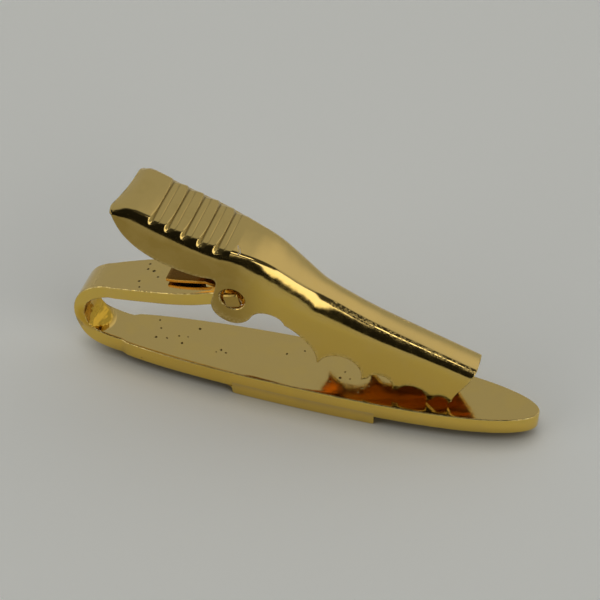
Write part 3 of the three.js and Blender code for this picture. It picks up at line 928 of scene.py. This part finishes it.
def rounded_ends(rings, radius):
    """Rings added at both ends, so that the sheet's cut ends have rounded edges."""
    partner = rings[:, ::-1]
    added = []
    for index, sign in ((0, -1), (-1, 1)):
        middle = (rings[index] + partner[index]) / 2
        side = rings[index] - middle
        reach = np.linalg.norm(side, axis=1)[:, None]
        extra = []
        for a in np.linspace(0, math.pi / 2, ARC_STEPS + 1)[1:]:
            closing = radius * (1 - math.cos(a)) / np.maximum(reach, 1e-6)
            shrunk = middle + side * (1 - np.minimum(closing, 0.9))
            shrunk[:, 0] += sign * radius * math.sin(a)
            extra.append(shrunk)
        added.append(extra)
    return np.concatenate([np.array(added[0][::-1]), rings, np.array(added[1])])


def lever_marks(rings):
    """For each point of the lever: rims and ends, brighter partly from wear and partly as a painted
    highlight, the crest's grooves, darkened as painted shade, the broken polish along the nose's creases, and
    the sheet's inner face, which gets a painted reflection."""
    total, count = rings.shape[:2]
    half = count // 2
    edge, groove, sparkle, inside = np.zeros((4, total, count))
    for k in range(ARC_STEPS + 1):
        for i in (k, half - 1 - k, half + k, count - 1 - k):
            edge[:, i] = 1 - 0.15 * k
    for end in (edge[:ARC_STEPS + 1], edge[-ARC_STEPS - 1:]):
        np.maximum(end, 0.8, out=end)
    facet = ARC_STEPS + FLANGE_ROWS + FOOT_ROWS + FACET_ROWS
    crest = facet + CREASE_ROWS // 2
    for r in range(total):
        u = float(rings[r, half // 2, 0])
        groove[r, crest:half - crest] = rib_groove(u)
        broken = float(smoothstep(u, *SPARKLE_COMES_IN))
        sparkle[r, facet + 2:facet + CREASE_ROWS] = broken
        sparkle[r, half - facet - CREASE_ROWS:half - facet - 2] = broken
    inside[:, half:] = 1
    return edge, {"groove": groove, "sparkle": sparkle, "inside": inside}


def add_mark(piece, name, values):
    """Stores one number for each point of the mesh, for the material to read."""
    attribute = piece.data.attributes.new(name, "FLOAT", "POINT")
    attribute.data.foreach_set("value", values.ravel().astype(np.float32))


def mark_upward(piece):
    """Notes how far each point of the mesh faces up."""
    normals = np.zeros(len(piece.data.vertices) * 3, np.float32)
    piece.data.vertex_normals.foreach_get("vector", normals)
    add_mark(piece, "upward", normals.reshape(-1, 3)[:, 2])


def ear_hole_profile(side):
    """(radius, y) rows of the hole through the ear on that side, chamfered outside."""
    face = float(lever_half(0))
    r, c = EAR_HOLE, EAR_HOLE_CHAMFER
    past = face + EAR_HOLE_PAST
    rows = [(0, face - 1), (r, face - 1), (r, face - c), (r + 0.3 * c, face - 0.35 * c), (r + c, face),
            (r + c + EAR_HOLE_PAST, past), (0, past)]
    return [(radius, side * y) for radius, y in rows]


def make_lever():
    rings = rounded_ends(lever_rings(), SHEET_EDGE)
    total, count = rings.shape[:2]
    points = [lever_to_frame(u, y, v) for ring in rings for u, y, v in ring]
    edge, marks = lever_marks(rings)
    lever = object_from("jaw_lever_gold", points, tube_faces(total, count, True, True), edge.ravel())
    for name, values in marks.items():
        add_mark(lever, name, values)
    clean(lever)
    for side in (-1, 1):
        cut(lever, lathe_tool("ear_hole", ear_hole_profile(side)))
    return lever


# ---- pin and spring
def make_pin():
    """A round pin with a squared head at each end."""
    side = PIN_HEAD_SIDE / 2
    reach = PIN_HEAD_IN + PIN_INTO_HEAD
    pin = lathe_tool("hinge_pin_gold", [(0, -reach), (PIN_RADIUS, -reach), (PIN_RADIUS, reach), (0, reach)])
    for low, high in ((-PIN_HEAD_OUT, -PIN_HEAD_IN), (PIN_HEAD_IN, PIN_HEAD_OUT)):
        head = box_tool("pin_head", (-side, low, -side), (side, high, side), PIN_HEAD_EDGE, ARM_SLOPE, PIVOT,
                        segments=5)
        cut(pin, head, "UNION")
    return pin


def tangent_angle(point, side):
    """Angle at which a line from the point meets the fold's circle, on the given side."""
    return math.atan2(point[1], point[0]) + side * math.acos(FOLD_RADIUS / math.hypot(*point))


def spring_line():
    """Points (x, z) along the leaf from its lower end, round the pin, to its upper end."""
    c, s = math.cos(ARM_SLOPE), math.sin(ARM_SLOPE)
    lower = [(-back * c - lift * s, -back * s + lift * c) for back, lift in LOWER_LEG]
    u, v = UPPER_END
    c, s = math.cos(LEVER_PITCH), math.sin(LEVER_PITCH)
    upper = (u * c + v * s, -u * s + v * c)
    start = tangent_angle(lower[-1], 1) % (2 * math.pi)
    end = tangent_angle(upper, -1) + 2 * math.pi
    fold = arc(0, 0, FOLD_RADIUS, start, end, FOLD_POINTS - 1)
    rise = between(fold[-1], upper, RISE_POINTS - 1) + [upper]
    return [(PIVOT[0] + x, PIVOT[1] + z) for x, z in lower + fold + rise]


def make_spring():
    """The leaf, whose two ends are slightly narrower than its middle."""
    line = spring_line()
    last = len(line) - 1
    stations = []
    for i, (x, z) in enumerate(line):
        end = min(i, last - i)
        half = LEAF_TIP_HALF + (LEAF_HALF - LEAF_TIP_HALF) * min(end / LEAF_TIP_ROWS, 1) ** 0.5
        stations.append((x, z, LEAF, half, 0.0))
    return strip_piece("leaf_spring_bronze", stations, LEAF_EDGE, True, True)


# ---- materials
# Noises: scale in cells per millimetre, detail, roughness, shift, stretch along X, Y and Z
DRIFT = (0.45, 4.0, 0.6)
WRINKLES = (0.75, 2.0, 0.45, 17.0, (1.3, 0.8, 1.0))
WEAR = (5.0, 4.0, 0.7, 7.0)
PATCHES = (0.7, 2.0, 0.5, 5.0)
GRIME = (7.0, 3.0, 0.7, 21.0)
CLOUDS = (1.6, 5.0, 0.65, 3.0)
SWELLS = (0.9, 2.0, 0.4, 11.0)
BRUSHED = (14.0, 3.0, 0.6, 0.0, (0.25, 1.6, 1.6))
DENTS = (5.0, 1.0, 0.5, 31.0)
STREAKS = (3.0, 4.0, 0.6, 0.0, (0.3, 3.0, 0.3))
STAINS = (1.1, 3.0, 0.5, 2.0)
ROLLED = (9.0, 3.0, 0.6, 0.0, (0.2, 2.0, 0.2))
GOLD_ROUGH, PIN_ROUGH, BRONZE_ROUGH = (0.09, 0.16), (0.15, 0.28), (0.22, 0.36)
PITS, PIT_RADIUS = 1.5, 0.045              # per millimetre, and in millimetres
PIT_PATCH, LEVER_PIT_PATCH = 0.62, 0.7     # the noise level above which there are pits


class Metal:
    """Builds one plated-metal material, node by node. Lengths in the nodes are millimetres."""

    def __init__(self, name):
        self.material = bpy.data.materials.new(name)
        self.material.use_nodes = True
        self.tree = self.material.node_tree
        place = add_node(self.tree, "TexCoord").outputs["Object"]
        self.place = self.vector_math("SCALE", (0, place), ("Scale", 1 / MM))

    def finish(self, colour, roughness, normal):
        feed(self.tree, self.tree.nodes["Principled BSDF"], ("Metallic", 1.0), ("Base Color", colour),
             ("Roughness", roughness), ("Normal", normal))
        return self.material

    def vector_math(self, operation, *inputs, output="Vector"):
        return add_node(self.tree, "VectorMath", *inputs, operation=operation).outputs[output]

    def math(self, operation, a, b, clamp=False):
        return add_node(self.tree, "Math", (0, a), (1, b), operation=operation, use_clamp=clamp).outputs[0]

    def ramp(self, value, low, high, to_low=0.0, to_high=1.0):
        return map_range(self.tree, value, low, high, to_low, to_high)

    def mix(self, mask, a, b):
        return mix_colours(self.tree, mask, a, b)

    def noise(self, scale, detail, roughness, shift=0.0, stretch=(1, 1, 1)):
        place = add_node(self.tree, "Mapping", ("Vector", self.place), ("Scale", stretch),
                         ("Location", (shift, shift * 0.7, shift * 1.3)))
        node = add_node(self.tree, "TexNoise", ("Vector", place.outputs["Vector"]), ("Scale", scale),
                        ("Detail", detail), ("Roughness", roughness))
        return node.outputs["Fac"]

    def distance_to(self, point, place):
        return self.vector_math("DISTANCE", (0, place), (1, point), output="Value")

    def wobbled_place(self, amount, scale):
        """The place, pushed about by noise, so that round marks come out ragged."""
        noise = add_node(self.tree, "TexNoise", ("Vector", self.place), ("Scale", scale))
        centred = self.vector_math("SUBTRACT", (0, noise.outputs["Color"]), (1, (0.5, 0.5, 0.5)))
        return self.vector_math("MULTIPLY_ADD", (0, centred), (1, (amount,) * 3), (2, self.place))

    def specks(self, marks, ragged=0.16):
        """1 inside the specks at the given (x, y, z, radius) marks."""
        wobble = self.wobbled_place(ragged, 8.0)
        found = None
        for x, y, z, radius in marks:
            away = self.distance_to((x, y, z), wobble)
            spot = self.ramp(away, radius * 0.6, radius * 1.45, 1.0, 0.0)
            found = spot if found is None else self.math("MAXIMUM", found, spot)
        return found

    def pits(self, patch):
        """1 inside small random pits, which keep to the noise's patches."""
        place = self.wobbled_place(0.05, 14.0)
        cells = add_node(self.tree, "TexVoronoi", ("Vector", place), ("Scale", PITS))
        edge = PIT_RADIUS * PITS
        spot = self.ramp(cells.outputs["Distance"], edge * 0.6, edge, 1.0, 0.0)
        here = self.ramp(self.noise(*PATCHES), patch, patch + 0.06)
        return self.math("MULTIPLY", spot, here)

    def along_x(self):
        return add_node(self.tree, "SeparateXYZ", (0, self.place)).outputs[0]

    def mark(self, name):
        """The number that add_mark stored under the name."""
        return add_node(self.tree, "Attribute", attribute_name=name).outputs["Fac"]

    def bump(self, height, depth, below=None):
        """The normal bumped by the height, on top of the bumps below."""
        node = add_node(self.tree, "Bump", ("Height", height), ("Distance", depth * MM), ("Normal", below))
        return node.outputs["Normal"]


def gold_colour(metal, top, side, tail_side_shade, inside_bend):
    """Paler on top and deeper on the sides, a painted reflection of the pale room and of gold-tinted bounce
    light, with drifting tones and bright edges that are partly wear and partly a painted highlight.
    """
    # Painted shade: behind the hinge the sides take the darker tail colour
    if tail_side_shade:
        side = metal.mix(metal.ramp(metal.along_x(), *SIDE_TURNS), tail_side_shade, side)
    drift = metal.ramp(metal.noise(*DRIFT), 0.3, 0.7, -0.15, 0.15)
    # Painted reflection: faces that point up take the top colour, the rest the side colour
    facing = metal.math("ADD", metal.ramp(metal.mark("upward"), 0.15, 0.75), drift, clamp=True)
    base = metal.mix(facing, side, top)
    # Painted reflection: deeper gold inside the bend
    if inside_bend:
        base = metal.mix(inside_bend, base, BEND_PAINTED_REFLECTION)
    # Painted reflection: the inner face of the sheet takes the deeper orange gold
    base = metal.mix(metal.mark("inside"), base, INSIDE_PAINTED_REFLECTION)
    # Rounded edges turn pale and bright in ragged patches: partly wear, partly a painted highlight
    ragged = metal.ramp(metal.noise(*WEAR), 0.4, 0.6)
    return metal.mix(metal.math("MULTIPLY", metal.mark("edge"), ragged, clamp=True), base, EDGE_WEAR_AND_HIGHLIGHT)


def gold_dirt_and_groove_shade(metal, marks, patch):
    """1 where the plating is pitted or specked, with ragged grime along its edges and painted shade in the
    crest's rib grooves.
    """
    dark = metal.pits(patch)
    if marks:
        dark = metal.math("MAXIMUM", dark, metal.specks(marks))
    grime = metal.math("MULTIPLY", metal.ramp(metal.noise(*GRIME), 0.5, 0.62), 0.85)
    edges = metal.math("MULTIPLY", metal.mark("edge"), grime)
    # Painted shade: the rib grooves darken towards the dark colour
    grooves = metal.math("MULTIPLY", metal.mark("groove"), 0.75)
    return metal.math("MAXIMUM", dark, metal.math("MAXIMUM", edges, grooves))


def gold_bumps(metal, dark, folds):
    """Slow swells, fine brushing, dents on the nose's creases, sunken marks and a bend's wrinkles."""
    normal = metal.bump(metal.noise(*SWELLS), SWELL)
    normal = metal.bump(metal.noise(*BRUSHED), BRUSHING, normal)
    dents = metal.math("MULTIPLY", metal.ramp(metal.noise(*DENTS), 0.53, 0.66), metal.mark("sparkle"))
    normal = metal.bump(dents, DENT, normal)
    normal = metal.bump(metal.math("SUBTRACT", 1.0, dark), PIT, normal)
    return metal.bump(folds, FOLD, normal) if folds else normal


def gold(name, top=GOLD_TOP, side=GOLD_SIDE, rough=GOLD_ROUGH, marks=(), patch=PIT_PATCH, tail_side_shade=None,
         scratches=(), creased=False):
    """Polished gold plate. marks are its dark specks; a tail side colour, when given, is its sides' darker
    colour behind the hinge, a painted shade; creased is for the strip, whose bend is wrinkled, and deeper in
    colour inside as a painted reflection."""
    metal = Metal(name)
    inside_bend, folds = None, None
    if creased:
        # Nearness to the bend's inside: it paints the deeper reflected colour there and carries the wrinkle
        # bumps
        away = metal.distance_to(BEND_MIDDLE, metal.place)
        inside_bend = metal.ramp(away, BEND_RADIUS, BEND_RADIUS + BEND_FADE, 1.0, 0.0)
        folds = metal.math("MULTIPLY", metal.noise(*WRINKLES), inside_bend)
    base = gold_colour(metal, top, side, tail_side_shade, inside_bend)
    dark = gold_dirt_and_groove_shade(metal, marks, patch)
    # Pits, specks and edge grime, and the painted shade in the grooves, darken the colour
    base = metal.mix(dark, base, DIRT_AND_GROOVE_SHADE)
    if scratches:
        scraped = metal.specks(scratches, 0.03)
        base = metal.mix(scraped, base, BARE_METAL)
        dark = metal.math("MAXIMUM", dark, metal.math("MULTIPLY", scraped, 0.7))
    roughness = metal.math("ADD", metal.ramp(metal.noise(*CLOUDS), 0.35, 0.75, *rough),
                           metal.math("MULTIPLY", dark, 0.4))
    return metal.finish(base, roughness, gold_bumps(metal, dark, folds))


def bronze(name):
    """Rolled spring strip: streaks along its length, stains, a painted shade that darkens its upward faces,
    and a painted highlight on its edges.
    """
    metal = Metal(name)
    streak = metal.ramp(metal.noise(*STREAKS), 0.3, 0.7)
    base = metal.mix(streak, BRONZE_DEEP, BRONZE)
    stain = metal.ramp(metal.noise(*STAINS), 0.55, 0.75)
    # Painted shade: the leaf's upward faces darken like its stains
    top_shade = metal.ramp(metal.mark("upward"), 0.2, 0.7)
    base = metal.mix(metal.math("MAXIMUM", stain, top_shade), base, BRONZE_STAIN_AND_TOP_SHADE)
    # Painted highlight: the leaf's rounded edges turn brighter
    base = metal.mix(metal.mark("edge"), base, BRONZE_EDGE_HIGHLIGHT)
    roughness = metal.ramp(streak, 0.0, 1.0, *BRONZE_ROUGH)
    return metal.finish(base, roughness, metal.bump(metal.noise(*ROLLED), BRONZE_STREAK))


# ---- assembly
def scratch_marks():
    """The dots of the scratches, as (x, y, z, radius)."""
    marks = []
    for line in NICK_LINES:
        for t in np.linspace(0, 1, NICK_DOTS):
            x, y, z = (a + (b - a) * t for a, b in zip(NICK_FROM, NICK_TO))
            marks.append((x + line, y, z, NICK_RADIUS))
    return marks


def place(piece, material, body, node, slot):
    """Finishes a piece: its material, its shading, and the CAD node that it stands for."""
    mark_upward(piece)
    piece.data.materials.clear()
    piece.data.materials.append(material)
    smooth(piece)
    if body:
        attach(piece, body)
    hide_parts(node)


make_camera()
make_floor()
make_studio()
bpy.context.scene.view_settings.view_transform = "Standard"

specks = [(x, y, PLATE_TOP, r) for x, y, r in PLATE_SPECKS]
specks += [(x, y, arm_line(x) + ARM_THICK / 2 / math.cos(ARM_SLOPE), r) for x, y, r in ARM_SPECKS]
strip_gold = gold("strip_gold", marks=specks, creased=True)
panel_gold = gold("panel_gold", side=PANEL_SIDE)
lever_gold = gold("lever_gold", side=LEVER_SIDE, patch=LEVER_PIT_PATCH, tail_side_shade=LEVER_TAIL_SIDE_SHADE,
                  scratches=scratch_marks())
pin_gold = gold("pin_gold", PIN_TOP, PIN_SIDE, rough=PIN_ROUGH)
place(make_strip(), strip_gold, "base", "base_strip", "strip_gold")
place(make_panel(), panel_gold, "base", "front_panel", "panel_gold")
place(make_lever(), lever_gold, "lever", "jaw_lever", "lever_gold")
place(make_pin(), pin_gold, "base", "hinge_pin", "pin_gold")
spring = make_spring()
place(spring, bronze("spring_bronze"), None, "leaf_spring", "spring_bronze")
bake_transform(spring)
